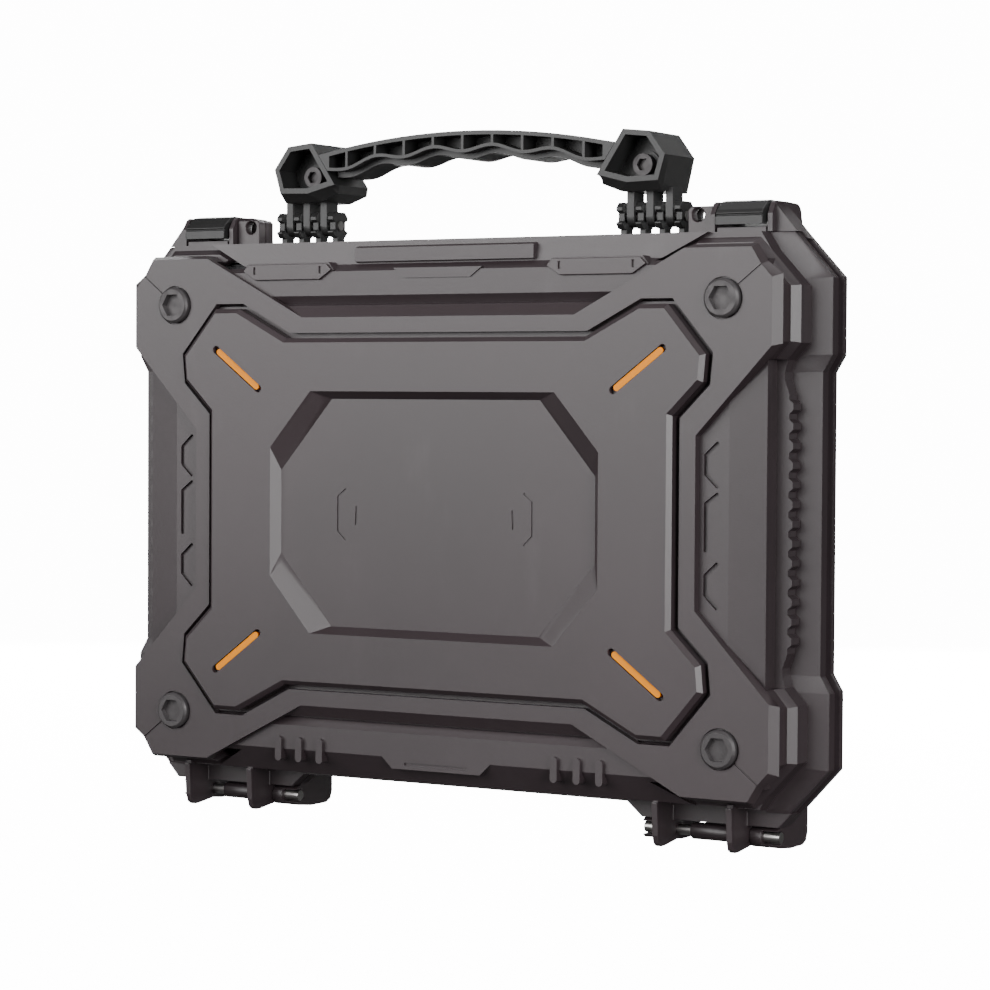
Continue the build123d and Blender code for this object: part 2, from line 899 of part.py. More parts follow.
def armour_screw():
    front = screw_seat_y() - screw_head_height
    head = rod_y(screw_x, centre_z + screw_z, front, screw_seat_y(), screw_head_radius)
    rim = head.edges().filter_by(GeomType.CIRCLE).sort_by(Axis.Y)[0]
    head = chamfer(rim, 1.0)
    shank = rod_y(screw_x, centre_z + screw_z, screw_seat_y(), screw_seat_y() + screw_length, screw_radius)
    return head + shank - hex_y(screw_x, centre_z + screw_z, front, front + screw_socket_depth, screw_socket)


def screw_insert():
    rear = insert_rear_y()
    outer = rod_y(screw_x, centre_z + screw_z, rear - insert_length, rear, insert_radius)
    return outer - rod_y(screw_x, centre_z + screw_z, rear - insert_length, rear, screw_radius)


def trim_plate():
    front = band_y - plate_thickness
    solid = slab(plate_points(), front, band_y)
    level = centre_z + plate_centre
    for side in (-1, 1):
        x = plate_middle_x() + side * plate_slot_x
        solid -= box(x - plate_slot_width / 2, x + plate_slot_width / 2, front, front + plate_slot_depth,
                     level - plate_slot_height / 2, level + plate_slot_height / 2)
    return solid


def lid_gasket():
    front = parting_y - gasket_depth
    back = parting_y + gasket_proud
    ring = slab(cavity_points(grow=gasket_offset + gasket_width), front, back)
    return ring - slab(cavity_points(grow=gasket_offset), front, back)


def lid_foam():
    back = parting_y - foam_cover
    solid = slab(cavity_points(lid_floor_half_height, -foam_gap), lid_floor_y + foam_gap, back)
    solid += slab(cavity_points(grow=-foam_gap), lid_ledge_y + foam_gap, back)
    for x in (-screw_x, screw_x):
        for z in (centre_z - screw_z, centre_z + screw_z):
            solid -= rod_y(x, z, lid_floor_y, insert_rear_y() + foam_gap, boss_radius + foam_gap)
    return solid


def base_tub():
    outer = slab(rim_points(-shadow_depth), base_face_y, base_step_y)
    outer += slab(rim_points(), base_step_y, base_back_y)
    outer += slab(base_points(), base_back_y, base_shoulder_y)
    outer += tapered(base_points(), base_shoulder_y, base_points(base_taper), rear_y)
    inner = slab(cavity_points(), base_face_y, base_shoulder_y - base_wall)
    inner += tapered(cavity_points(), base_shoulder_y - base_wall,
                     cavity_points(grow=-base_taper + 2.0), rear_y - base_wall)
    outer -= inner
    pad = quarters([(back_pad_half_width - back_pad_corner, back_pad_half_height),
                    (back_pad_half_width, back_pad_half_height - back_pad_corner)])
    return outer - slab(pad, rear_y - back_pad_depth, rear_y)


def foot_profile():
    root = centre_z - base_half_height + 3.0
    return [
        (base_face_y, root),
        (base_face_y, hinge_z),
        (parting_y, hinge_z - foot_knuckle),
        (0.0, 0.0),
        (foot_rear_y - foot_round, 0.0),
        (foot_rear_y - 0.3 * foot_round, 0.3 * foot_round),
        (foot_rear_y, foot_round),
        (foot_rear_y, root),
    ]


def base_hinge():
    """Feet, middle knuckle and flange under the base at the right hinge, with the pin bare at each end."""
    solid = hinge_flange(base_face_y, base_back_y, 0.0)
    for side in (-1, 1):
        near = hinge_x + side * foot_offset
        far = hinge_x + side * (foot_offset + foot_width)
        left, right = min(near, far), max(near, far)
        foot = beam(foot_profile(), left, right) + rod_x(left, right, parting_y, hinge_z, foot_knuckle)
        foot -= rod_x(left - 1, right + 1, parting_y, hinge_z, hinge_pin_radius)
        window = sorted((far, far - side * pin_window))
        foot -= box(window[0], window[1], parting_y - 10, parting_y + 0.6, hinge_z - pin_window_half,
                    hinge_z + pin_window_half)
        solid += foot
    middle = rod_x(hinge_x - middle_knuckle_half, hinge_x + middle_knuckle_half, parting_y, hinge_z, middle_knuckle)
    web = box(hinge_x - middle_web_half, hinge_x + middle_web_half, base_face_y, base_back_y, hinge_z,
              stand_height - hinge_flange_gap)
    middle += web - rod_x(hinge_x - middle_knuckle_half, hinge_x + middle_knuckle_half, parting_y, hinge_z,
                          middle_knuckle)
    return solid + middle - rod_x(hinge_x - foot_offset, hinge_x + foot_offset, parting_y, hinge_z, hinge_pin_radius)


def ear_profile():
    root = centre_z + base_half_height - 3.0
    high = top_z + cheek_height
    return [(base_face_y, root), (base_face_y, high - 2.0), (base_face_y + 2.0, high),
            (latch_pivot_y, latch_pivot_z + ear_radius), (latch_pivot_y + ear_radius, latch_pivot_z),
            (latch_pivot_y + ear_radius + 3.0, root)]


def base_ears():
    """Ears that carry the right latch and the guards in front of them."""
    inner, outer = cheek_edges()
    ears = beam(ear_profile(), outer, outer + ear_outer_width) + beam(ear_profile(), inner - ear_inner_width, inner)
    barrel = rod_x(inner - ear_inner_width, inner, latch_pivot_y, latch_pivot_z, ear_radius)
    barrel += rod_x(outer, outer + ear_outer_width, latch_pivot_y, latch_pivot_z, ear_radius)
    ears += barrel
    ears += slab(horn_points(3.0), base_face_y, base_back_y)
    ears += slab(horn_points(lid_edge_inset - seam_gap), cheek_lug_y, base_face_y)
    ears += beam(cheek_profile(), inner - cheek_thickness, inner)
    ears += beam(cheek_profile(), outer, outer + cheek_thickness)
    return both(ears - latch_pin())


def base_tabs():
    solid = slab(tab_points(2.0), base_face_y, tab_rear_y)
    return both(solid - rod_y(lock_hole_x, lock_hole_z, base_face_y - 1, tab_rear_y + 1, lock_hole_radius))


def latch_pin():
    inner, outer = cheek_edges()
    return rod_x(inner - ear_inner_width + 0.6, outer + ear_outer_width - 0.6, latch_pivot_y, latch_pivot_z,
                 latch_pin_radius)


def comb_positions():
    return [comb_first_x + comb_pitch * step for step in range(comb_count)]


def comb_profile():
    front = pivot_y - comb_half_depth
    back = pivot_y + comb_half_depth
    low, high = pivot_z - comb_drop, pivot_z + comb_rise
    middle = pivot_z
    half = comb_notch_half
    return [
        (front + comb_cut, low), (front, low + comb_cut),
        (front, middle - half - 0.8), (front + comb_notch, middle - half),
        (front + comb_notch, middle + half), (front, middle + half + 0.8),
        (front, high - comb_cut), (front + comb_cut, high),
        (back - comb_cut, high), (back, high - comb_cut),
        (back, middle + half + 0.8), (back - comb_notch, middle + half),
        (back - comb_notch, middle - half), (back, middle - half - 0.8),
        (back, low + comb_cut), (back - comb_cut, low),
    ]


def bracket_key():
    """Rib under the handle bracket that sits in a slot of the base."""
    positions = comb_positions()
    base_top = centre_z + base_half_height
    return box(positions[0], positions[-1], -rail_key_half, rail_key_half, base_top - rail_key_depth, base_top)


def handle_bracket():
    """Comb of upright plates on a rail that carries the right handle pin."""
    positions = comb_positions()
    base_top = centre_z + base_half_height
    half = comb_thickness / 2
    rail = box(positions[0] - half, positions[-1] + half, base_back_y + rail_gap, pivot_y + comb_half_depth,
               base_top, base_top + rail_height)
    plates = []
    for x in positions:
        plates.append(beam(comb_profile(), x - half, x + half))
        plates.append(box(x - half, x + half, pivot_y - post_front, pivot_y + post_back, top_z + rail_gap,
                          pivot_z - comb_drop + 1.0))
    return rail + bracket_key() + plates - handle_pin()


def handle_pin():
    reach = comb_thickness / 2 + handle_pin_overhang
    positions = comb_positions()
    return rod_x(positions[0] - reach, positions[-1] + reach, pivot_y, pivot_z, handle_pin_radius)


def hinge_pin():
    reach = foot_offset + foot_width
    return rod_x(hinge_x - reach, hinge_x + reach, parting_y, hinge_z, hinge_pin_radius)


def base_shell():
    solid = base_tub() + base_ears() + base_tabs()
    return solid - both(bracket_key()) - both(base_hinge())


def base_foam():
    depth_back = base_shoulder_y - base_wall
    solid = slab(cavity_points(grow=-foam_gap), parting_y + foam_cover, depth_back)
    solid += tapered(cavity_points(grow=-foam_gap), depth_back,
                     cavity_points(grow=-base_taper + 2.0 - foam_gap), rear_y - base_wall - foam_gap)
    pocket = slab(quarters([(pocket_half_width, pocket_half_height)]), parting_y, parting_y + foam_cover + pocket_depth)
    return solid - pocket


def latch():
    left, right = latch_edges()
    points = [
        (latch_front_y, latch_low_z),
        (latch_front_y, latch_line_z - 0.5),
        (latch_front_y + 0.9, latch_line_z),
        (latch_front_y, latch_line_z + 0.5),
        (latch_front_y + 1.2, latch_brow_z),
        (latch_front_y + 5.5, latch_top_z - 0.6),
        (latch_front_y + 9.0, latch_top_z),
        (latch_pivot_y - 5.0, latch_top_z - 0.4),
        (latch_pivot_y, latch_pivot_z + latch_barrel),
        (latch_pivot_y, latch_pivot_z - latch_barrel + 0.6),
        (latch_front_y + 5.0, latch_low_z + 0.6),
        (latch_front_y + 4.0, latch_low_z),
    ]
    body = beam(points, left, right)
    body += rod_x(left, right, latch_pivot_y, latch_pivot_z, latch_barrel)
    return body - rod_x(left - 1, right + 1, latch_pivot_y, latch_pivot_z, latch_pin_radius + running_gap)


def above_pivot(points):
    """Outline given from the first plate of the comb and the pivot."""
    return [(comb_first_x + x, pivot_z + height) for x, height in points]


def prongs():
    positions = comb_positions()
    plates = []
    for first, second in zip(positions, positions[1:]):
        middle = (first + second) / 2
        left, right = middle - prong_thickness / 2, middle + prong_thickness / 2
        plate = box(left, right, pivot_y - prong_radius, pivot_y + prong_radius, pivot_z, pivot_z + prong_height)
        plate += rod_x(left, right, pivot_y, pivot_z, prong_radius)
        plates.append(plate)
    return (Part() + plates) - rod_x(positions[0], positions[-1], pivot_y, pivot_z,
                                     handle_pin_radius + running_gap)


def handle_knuckle():
    front_points = above_pivot(knuckle_points)
    body_points = above_pivot(knuckle_points[:3] + knuckle_low_points + knuckle_points[-1:])
    body_y = knuckle_front_y + knuckle_bevel
    solid = slab(body_points, body_y, knuckle_rear_y)
    rims = solid.faces().sort_by(Axis.Y)
    solid = chamfer(rims[-1].edges(), 1.2)
    solid += tapered(front_points, knuckle_front_y, body_points, body_y)
    floor = knuckle_front_y + cup_depth
    solid -= slab(front_points, knuckle_front_y, floor, grow=-knuckle_wall)
    solid += rod_y(bolt_x, bolt_z, floor - bolt_seat_height, floor, bolt_seat_radius)
    half = tongue_thickness / 2 + tongue_gap
    solid -= slab(above_pivot(tongue_outline), tongue_y - half, tongue_y + half, grow=tongue_gap)
    solid += prongs()
    solid -= rod_y(bolt_x, bolt_z, knuckle_front_y, knuckle_rear_y, bolt_radius + 0.1)
    return solid - hex_y(bolt_x, bolt_z, knuckle_rear_y - nut_height, knuckle_rear_y, nut_width)


def handle_bolt():
    seat = knuckle_front_y + cup_depth - bolt_seat_height
    front = seat - bolt_head_height
    head = rod_y(bolt_x, bolt_z, front, seat, bolt_head_radius)
    shank = rod_y(bolt_x, bolt_z, seat, knuckle_rear_y - 0.6, bolt_radius)
    return head + shank - hex_y(bolt_x, bolt_z, front, front + 2.2, bolt_socket)


def handle_nut():
    nut = hex_y(bolt_x, bolt_z, knuckle_rear_y - nut_height, knuckle_rear_y - 0.6, nut_width - 0.2)
    return nut - rod_y(bolt_x, bolt_z, knuckle_front_y, knuckle_rear_y, bolt_radius)


def arch_z(x):
    """Height of the handle's arched top at a distance from its middle."""
    return pivot_z + grip_top - grip_end_drop * (x / grip_end_x) ** 2


def wave_z(x):
    """Height of the finger waves under the grip."""
    fall = rim_low_fall * (x / (2 * lobe_pitch)) ** 2
    return pivot_z + rim_low - fall + rim_wave * (1 - math.cos(2 * math.pi * x / lobe_pitch)) / 2


def grip_outline(x_end_top, x_end_low, top_shift, low_shift):
    steps = 28
    lows = [-x_end_low + 2 * x_end_low * i / steps for i in range(steps + 1)]
    low_line = Spline(*[(x, wave_z(x) + low_shift) for x in lows])
    top_line = ThreePointArc((-x_end_top, arch_z(x_end_top) + top_shift), (0, pivot_z + grip_top + top_shift),
                             (x_end_top, arch_z(x_end_top) + top_shift))
    left = Line((-x_end_top, arch_z(x_end_top) + top_shift), (-x_end_low, wave_z(x_end_low) + low_shift))
    right = Line((x_end_top, arch_z(x_end_top) + top_shift), (x_end_low, wave_z(x_end_low) + low_shift))
    return make_face([low_line, right, top_line, left])


def grip_ends():
    """Where the grip's top and bottom lines meet the slanted side of the knuckle."""
    (x1, z1), (x0, z0) = above_pivot([knuckle_points[0], knuckle_points[-1]])
    slope = (x1 - x0) / (z1 - z0)
    top_x = x0 + (arch_z(x0 + 8.0) - z0) * slope
    low_x = x0 + (wave_z(x0 + 2.0) - z0) * slope
    return top_x, low_x


def handle_grip():
    top_x, low_x = grip_ends()
    top_x -= tongue_gap
    low_x -= tongue_gap
    outline = grip_outline(top_x, low_x, 0.0, 0.0)
    solid = deepened(outline, knuckle_front_y, knuckle_rear_y)
    lobes = grip_outline(low_x - 2.0, low_x - 2.0, -3.0, -lobe_drop)
    lobe_front = knuckle_front_y + lobe_inset
    lobe_back = knuckle_rear_y - lobe_inset
    solid += deepened(lobes, lobe_front, lobe_back)
    inner = grip_outline(low_x - 1.0, low_x - 1.0, -grip_flange, grip_flange - 0.4)
    web_half = grip_web / 2
    middle = (knuckle_front_y + knuckle_rear_y) / 2
    rib_centres = [lobe_pitch / 2 * step for step in range(-4, 5)]
    ribs = Part() + [box(x - grip_rib / 2, x + grip_rib / 2, knuckle_front_y, knuckle_rear_y, pivot_z,
                         pivot_z + 2 * grip_top)
                     for x in rib_centres]
    front_pocket = deepened(inner, knuckle_front_y, middle - web_half)
    back_pocket = deepened(inner, middle + web_half, knuckle_rear_y)
    solid -= (front_pocket - ribs)
    solid -= (back_pocket - ribs)
    half = tongue_thickness / 2
    tongue = slab(above_pivot(tongue_outline), tongue_y - half, tongue_y + half)
    tongue -= rod_y(bolt_x, bolt_z, tongue_y - half - 1, tongue_y + half + 1, bolt_radius + 0.1)
    return solid + both(tongue)


shell = lid_shell()
screw = armour_screw()
insert = screw_insert()
bolt = handle_bolt()
nut = handle_nut()

nodes = {
    "base_shell": base_shell(),
    "base_foam": base_foam(),
    "base_hinge_left": mirrored(base_hinge()),
    "base_hinge_right": base_hinge(),
    "hinge_pin_left": mirrored(hinge_pin()),
    "hinge_pin_right": hinge_pin(),
    "latch_pin_left": mirrored(latch_pin()),
    "latch_pin_right": latch_pin(),
    "handle_bracket_left": mirrored(handle_bracket()),
    "handle_bracket_right": handle_bracket(),
    "handle_pin_left": mirrored(handle_pin()),
    "handle_pin_right": handle_pin(),
    "lid_shell": shell,
    "armour_frame": armour_frame(),
    "centre_panel": centre_panel(),
    "accent_upper_left": accent(-1, 1),
    "accent_upper_right": accent(1, 1),
    "accent_lower_left": accent(-1, -1),
    "accent_lower_right": accent(1, -1),
    "armour_screws": four(screw),
    "screw_inserts": four(insert),
    "trim_plate_left": mirrored(trim_plate()),
    "trim_plate_right": trim_plate(),
    "lid_gasket": lid_gasket(),
    "lid_foam": lid_foam(),
    "lid_hinge_left": mirrored(lid_hinge()),
    "lid_hinge_right": lid_hinge(),
    "latch_keeper_left": mirrored(latch_keeper()),
    "latch_keeper_right": latch_keeper(),
    "padlock_tab_left": mirrored(padlock_tab()),
    "padlock_tab_right": padlock_tab(),
    "latch_left": mirrored(latch()),
    "latch_right": latch(),
    "handle_grip": handle_grip(),
    "handle_knuckle_left": mirrored(handle_knuckle()),
    "handle_knuckle_right": handle_knuckle(),
    "handle_bolts": both(bolt),
    "handle_nuts": both(nut),
}

for name, solid in nodes.items():
    export_step(solid, f"parts/{name}.step")
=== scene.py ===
import json
import math

import bmesh
import bpy
from mathutils import Matrix, Vector


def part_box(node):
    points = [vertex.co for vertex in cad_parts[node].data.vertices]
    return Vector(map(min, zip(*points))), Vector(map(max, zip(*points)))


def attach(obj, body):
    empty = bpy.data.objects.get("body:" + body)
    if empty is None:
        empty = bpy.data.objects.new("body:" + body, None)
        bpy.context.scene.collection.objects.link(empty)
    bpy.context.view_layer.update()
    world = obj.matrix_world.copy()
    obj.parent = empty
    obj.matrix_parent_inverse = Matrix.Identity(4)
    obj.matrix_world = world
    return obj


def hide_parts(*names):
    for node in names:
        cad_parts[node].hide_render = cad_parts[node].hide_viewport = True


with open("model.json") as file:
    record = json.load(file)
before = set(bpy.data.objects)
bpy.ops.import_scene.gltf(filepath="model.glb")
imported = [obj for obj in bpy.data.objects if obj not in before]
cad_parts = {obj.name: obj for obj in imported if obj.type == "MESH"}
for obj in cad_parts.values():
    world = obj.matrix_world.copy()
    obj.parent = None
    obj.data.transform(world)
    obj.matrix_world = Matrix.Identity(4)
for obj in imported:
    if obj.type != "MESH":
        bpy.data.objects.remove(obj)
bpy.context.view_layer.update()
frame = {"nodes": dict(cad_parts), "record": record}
nodes = frame["nodes"]
mm = 0.001

# camera, solved from the perspective of the photograph
cameraSetup = {
    "place": (0.6439, -1.0640, 0.1759),
    "lens": 109.09,
    "turn": 30.89,  # degrees to the left of +Y
    "down": 1.86,
    "roll": 0.33,
}


def addCamera(setup):
    data = bpy.data.cameras.new("camera")
    data.lens = setup["lens"]
    data.sensor_width = 36.0
    data.clip_start = 0.05
    turn = math.radians(setup["turn"])
    down = math.radians(setup["down"])
    roll = math.radians(setup["roll"])
    right = Vector((math.cos(turn), math.sin(turn), 0))
    ahead = Vector((-math.sin(turn) * math.cos(down), math.cos(turn) * math.cos(down), -math.sin(down)))
    below = ahead.cross(right)
    sideways = right * math.cos(roll) - below * math.sin(roll)
    upright = -(right * math.sin(roll) + below * math.cos(roll))
    matrix = Matrix((sideways, upright, -ahead)).transposed().to_4x4()
    matrix.translation = Vector(setup["place"])
    camera = bpy.data.objects.new("camera", data)
    camera.matrix_world = matrix
    bpy.context.scene.collection.objects.link(camera)
    bpy.context.scene.camera = camera


addCamera(cameraSetup)
print("camera placed")


class Wire:
    # one socket of a material, with arithmetic on it
    def __init__(self, tree, socket):
        self.tree = tree
        self.socket = socket

    def node(self, kind, settings=None, inputs=None, output=0):
        made = self.tree.nodes.new("ShaderNode" + kind)
        for name, value in (settings or {}).items():
            setattr(made, name, value)
        for name, value in (inputs or {}).items():
            if isinstance(value, Wire):
                self.tree.links.new(value.socket, made.inputs[name])
            else:
                made.inputs[name].default_value = value
        return Wire(self.tree, made.outputs[output])

    def maths(self, operation, first, second=0.0):
        return self.node("Math", {"operation": operation}, {0: first, 1: second})

    def __add__(self, other):
        return self.maths("ADD", self, other)

    def __radd__(self, other):
        return self.maths("ADD", other, self)

    def __sub__(self, other):
        return self.maths("SUBTRACT", self, other)

    def __rsub__(self, other):
        return self.maths("SUBTRACT", other, self)

    def __mul__(self, other):
        return self.maths("MULTIPLY", self, other)

    def __rmul__(self, other):
        return self.maths("MULTIPLY", other, self)

    def __gt__(self, other):
        return self.maths("GREATER_THAN", self, other)

    def __lt__(self, other):
        return self.maths("LESS_THAN", self, other)

    def absolute(self):
        return self.maths("ABSOLUTE", self)

    def toLine(self, pitch):
        # distance to the nearest of a row of evenly spaced lines
        return self.maths("PINGPONG", self, pitch / 2)

    def axis(self, name):
        return self.node("SeparateXYZ", None, {"Vector": self}, name)

    def smooth(self, low, high):
        # 0 below low, 1 above high
        return self.node("MapRange", {"interpolation_type": "SMOOTHSTEP"},
                         {"Value": self, "From Min": low, "From Max": high})

    def mix(self, first, second):
        return self.node("Mix", {"data_type": "RGBA"}, {0: self, 6: first, 7: second}, 2)

    def noise(self, scale, detail=2.0, roughness=0.5):
        return self.node("TexNoise", None,
                         {"Vector": self, "Scale": scale, "Detail": detail, "Roughness": roughness}, "Fac")

    def stretched(self, scale):
        return self.node("Mapping", None, {"Vector": self, "Scale": scale})

    def cells(self, scale):
        return self.node("TexVoronoi", None, {"Vector": self, "Scale": scale}, "Distance")


def newMaterial(name):
    # material, a wire with the object's own coordinates in metres, and its main shader
    material = bpy.data.materials.new(name)
    material.use_nodes = True
    tree = material.node_tree
    shader = tree.nodes["Principled BSDF"]
    coordinates = tree.nodes.new("ShaderNodeTexCoord")
    return material, Wire(tree, coordinates.outputs["Object"]), shader


def feed(shader, place, **sockets):
    names = {"colour": "Base Color", "rough": "Roughness", "metal": "Metallic", "normal": "Normal",
             "spec": "Specular IOR Level", "sheen": "Sheen Weight", "sheenRough": "Sheen Roughness"}
    for key, value in sockets.items():
        socket = shader.inputs[names[key]]
        if isinstance(value, Wire):
            place.tree.links.new(value.socket, socket)
        else:
            socket.default_value = value


def bump(height, strength, distance):
    return height.node("Bump", None, {"Height": height, "Strength": strength, "Distance": distance})


casePlastic = {
    "light": (0.040, 0.028, 0.032, 1),
    "dark": (0.029, 0.020, 0.023, 1),
    "dust": (0.12, 0.105, 0.11, 1),
    "rough": 0.44,
    "spec": 0.9,
    "grain": 1700.0,  # grains to the metre
    "grainHeight": 0.00006,
    "grainBump": 0.35,
    "clouds": 9.0,  # flow clouds to the metre
    "cloudRough": 0.10,
    "rubs": 38.0,  # rub marks to the metre
    "rubStretch": (1.0, 1.0, 0.35),  # longer upward
    "rubBand": (0.56, 0.80),  # a higher band leaves fewer rubs
    "rubStrength": 0.10,
}


def mouldedPlastic(name, look):
    # injection moulded plastic with a spark eroded grain, faint flow clouds and rub marks
    material, place, shader = newMaterial(name)
    clouds = place.noise(look["clouds"], 3.0)
    grain = place.cells(look["grain"]) * 0.6 + place.noise(look["grain"] * 1.7, 2.0) * 0.4
    rub = place.stretched(look["rubStretch"]).noise(look["rubs"], 6.0, 0.62).smooth(*look["rubBand"])
    colour = clouds.smooth(0.3, 0.7).mix(look["dark"], look["light"])
    colour = (rub * look["rubStrength"]).mix(colour, look["dust"])
    rough = look["rough"] + (clouds - 0.5) * look["cloudRough"] + (grain - 0.5) * 0.08 - rub * 0.06
    feed(shader, place, colour=colour, rough=rough, spec=look["spec"],
         normal=bump(grain, look["grainBump"], look["grainHeight"]))
    return material


armourPlastic = dict(casePlastic, light=(0.042, 0.029, 0.033, 1), dark=(0.031, 0.021, 0.024, 1),
                     rough=0.42, grain=2300.0, grainHeight=0.00004)
handlePlastic = dict(casePlastic, light=(0.024, 0.024, 0.024, 1), dark=(0.015, 0.015, 0.015, 1),
                     dust=(0.07, 0.07, 0.07, 1), spec=0.6, rough=0.40, grain=2000.0, grainHeight=0.00005)
accentPlastic = {
    "litOrange": (1.0, 0.34, 0.008, 1),
    "shadedOrange": (0.80, 0.11, 0.004, 1),
    "rough": 0.36,
    "spec": 0.15,
    "face": -0.0394,  # front of the bars
    "edge": 0.0004,  # depth over which the front's painted highlight fades into the painted shade of the sides
    "clouds": 120.0,
    "grain": 2500.0,
    "grainHeight": 0.00004,
}


def accentLook(name, look):
    material, place, shader = newMaterial(name)
    clouds = place.noise(look["clouds"], 2.0)
    grain = place.noise(look["grain"], 2.0)
    # the front faces get a painted lit orange, the faces behind them a painted shaded orange
    litFront = 1 - place.axis("Y").smooth(look["face"], look["face"] + look["edge"])
    colour = (litFront * 0.8 + clouds * 0.2).mix(look["shadedOrange"], look["litOrange"])
    feed(shader, place, colour=colour, rough=look["rough"] + (grain - 0.5) * 0.12, spec=look["spec"],
         normal=bump(grain, 0.25, look["grainHeight"]))
    return material


steelLook = {
    "light": (0.66, 0.65, 0.63, 1),
    "dark": (0.42, 0.41, 0.40, 1),
    "rough": 0.28,
    "metal": 1.0,
    "lines": (60.0, 3200.0, 3200.0),  # tool lines to the metre along X, Y and Z
    "lineHeight": 0.00003,
    "patches": 260.0,
}
blackScrewLook = dict(steelLook, light=(0.085, 0.078, 0.080, 1), dark=(0.060, 0.055, 0.057, 1), rough=0.38,
                      metal=0.25, lines=(900.0, 900.0, 900.0))
brassLook = dict(steelLook, light=(0.80, 0.58, 0.25, 1), dark=(0.55, 0.38, 0.14, 1), rough=0.32,
                 lines=(2600.0, 300.0, 2600.0))


def turnedMetal(name, look):
    # metal with fine tool lines and dull patches
    material, place, shader = newMaterial(name)
    lines = place.stretched(look["lines"]).noise(1.0, 3.0, 0.6)
    patches = place.noise(look["patches"], 4.0).smooth(0.35, 0.75)
    colour = (lines * 0.5 + patches * 0.5).mix(look["light"], look["dark"])
    feed(shader, place, colour=colour, metal=look["metal"], rough=look["rough"] + patches * 0.18,
         normal=bump(lines, 0.25, look["lineHeight"]))
    return material


rubberLook = {
    "light": (0.028, 0.028, 0.029, 1),
    "dark": (0.014, 0.014, 0.015, 1),
    "rough": 0.62,
    "clouds": 60.0,
    "grain": 3200.0,
    "grainHeight": 0.00005,
}


def rubber(name, look):
    material, place, shader = newMaterial(name)
    clouds = place.noise(look["clouds"], 4.0)
    grain = place.noise(look["grain"], 3.0)
    colour = clouds.smooth(0.3, 0.75).mix(look["dark"], look["light"])
    feed(shader, place, colour=colour, rough=look["rough"] + (clouds - 0.5) * 0.16,
         normal=bump(grain, 0.3, look["grainHeight"]))
    return material


foamLook = {
    "light": (0.060, 0.060, 0.064, 1),
    "paintedPoreShade": (0.012, 0.012, 0.013, 1),
    "rough": 0.92,
    "pores": 900.0,  # pores to the metre
    "poreHeight": 0.0006,
    "shade": 45.0,
    "slitX": 0.0130,  # pitch of the pluck slits across and upward
    "slitZ": 0.0132,
    "slitHalf": (0.0002, 0.0007),  # from a slit's middle to where its painted shade is full and to where it ends at its pale edge
    "slitFloor": 0.0200,  # where the slits end
    "middle": 0.128,  # height of the case's middle
}


def openFoam(name, look, slits=False):
    # open cell foam with fine and coarse pores, whose insides are darkened as painted shade
    material, place, shader = newMaterial(name)
    fine = place.cells(look["pores"])
    coarse = place.cells(look["pores"] * 0.35)
    pores = (1 - fine.smooth(0.05, 0.5)) * 0.6 + (1 - coarse.smooth(0.0, 0.35)) * 0.4
    shade = place.noise(look["shade"], 3.0)
    # the pores are painted dark as painted shade, with a little random mottle mixed in
    mottleAndPaintedShade = pores * 0.75 + shade * 0.25
    height = 1 - pores
    if slits:
        facing = place.node("TexCoord", output="Normal")
        # a pocket wall that lies on a slit line stays plain
        across = place.axis("X").toLine(look["slitX"]) + (facing.axis("X").absolute() > 0.7)
        upward = (place.axis("Z") - look["middle"]).toLine(look["slitZ"]) + (facing.axis("Z").absolute() > 0.7)
        line = across.maths("MINIMUM", across, upward)
        # painted shade along each pluck slit, darkest in the slit's middle; the same mask also sinks the bump
        cut = (1 - line.smooth(*look["slitHalf"])) * (place.axis("Y") < look["slitFloor"])
        mottleAndPaintedShade = mottleAndPaintedShade.maths("MAXIMUM", mottleAndPaintedShade, cut)
        height = height - cut * 2.5
    colour = mottleAndPaintedShade.mix(look["light"], look["paintedPoreShade"])
    feed(shader, place, colour=colour, rough=look["rough"], sheen=0.25, sheenRough=0.6,
         normal=bump(height, 0.7, look["poreHeight"]))
    return material


finishes = {
    "case_plastic": mouldedPlastic("mouldedCase", casePlastic),
    "armour_plastic": mouldedPlastic("mouldedArmour", armourPlastic),
    "handle_plastic": mouldedPlastic("mouldedHandle", handlePlastic),
    "accent_orange": accentLook("orangeAccent", accentPlastic),
    "black_screw": turnedMetal("blackScrew", blackScrewLook),
    "pin_steel": turnedMetal("pinSteel", steelLook),
    "insert_brass": turnedMetal("insertBrass", brassLook),
    "gasket_rubber": rubber("gasketRubber", rubberLook),
    "foam": openFoam("openFoam", foamLook),
}
print("materials made")

# edge rounding of each moulded piece, in millimetres
edgeRounding = {
    "latch_keeper_left": 0.4,
    "latch_keeper_right": 0.4,
    "padlock_tab_left": 0.4,
    "padlock_tab_right": 0.4,
    "lid_hinge_left": 0.4,
    "lid_hinge_right": 0.4,
    "base_hinge_left": 0.5,
    "base_hinge_right": 0.5,
    "handle_bracket_left": 0.3,
    "handle_bracket_right": 0.3,
    "base_shell": 0.6,
    "lid_shell": 0.5,
    "armour_frame": 0.7,
    "centre_panel": 0.6,
    "trim_plate_left": 0.4,
    "trim_plate_right": 0.4,
    "latch_left": 0.5,
    "latch_right": 0.5,
    "handle_grip": 0.35,
    "handle_knuckle_left": 0.6,
    "handle_knuckle_right": 0.6,
    "accent_upper_left": 0.4,
    "accent_upper_right": 0.4,
    "accent_lower_left": 0.4,
    "accent_lower_right": 0.4,
    "armour_screws": 0.3,
    "handle_bolts": 0.3,
    "handle_nuts": 0.25,
}


def roundEdges(piece, width):
    weld = piece.modifiers.new("weld", "WELD")
    weld.merge_threshold = 0.00001
    rounding = piece.modifiers.new("rounding", "BEVEL")
    rounding.width = width * mm
    rounding.segments = 2
    rounding.limit_method = "ANGLE"
    rounding.angle_limit = math.radians(28)
    rounding.harden_normals = True
    rounding.use_clamp_overlap = True


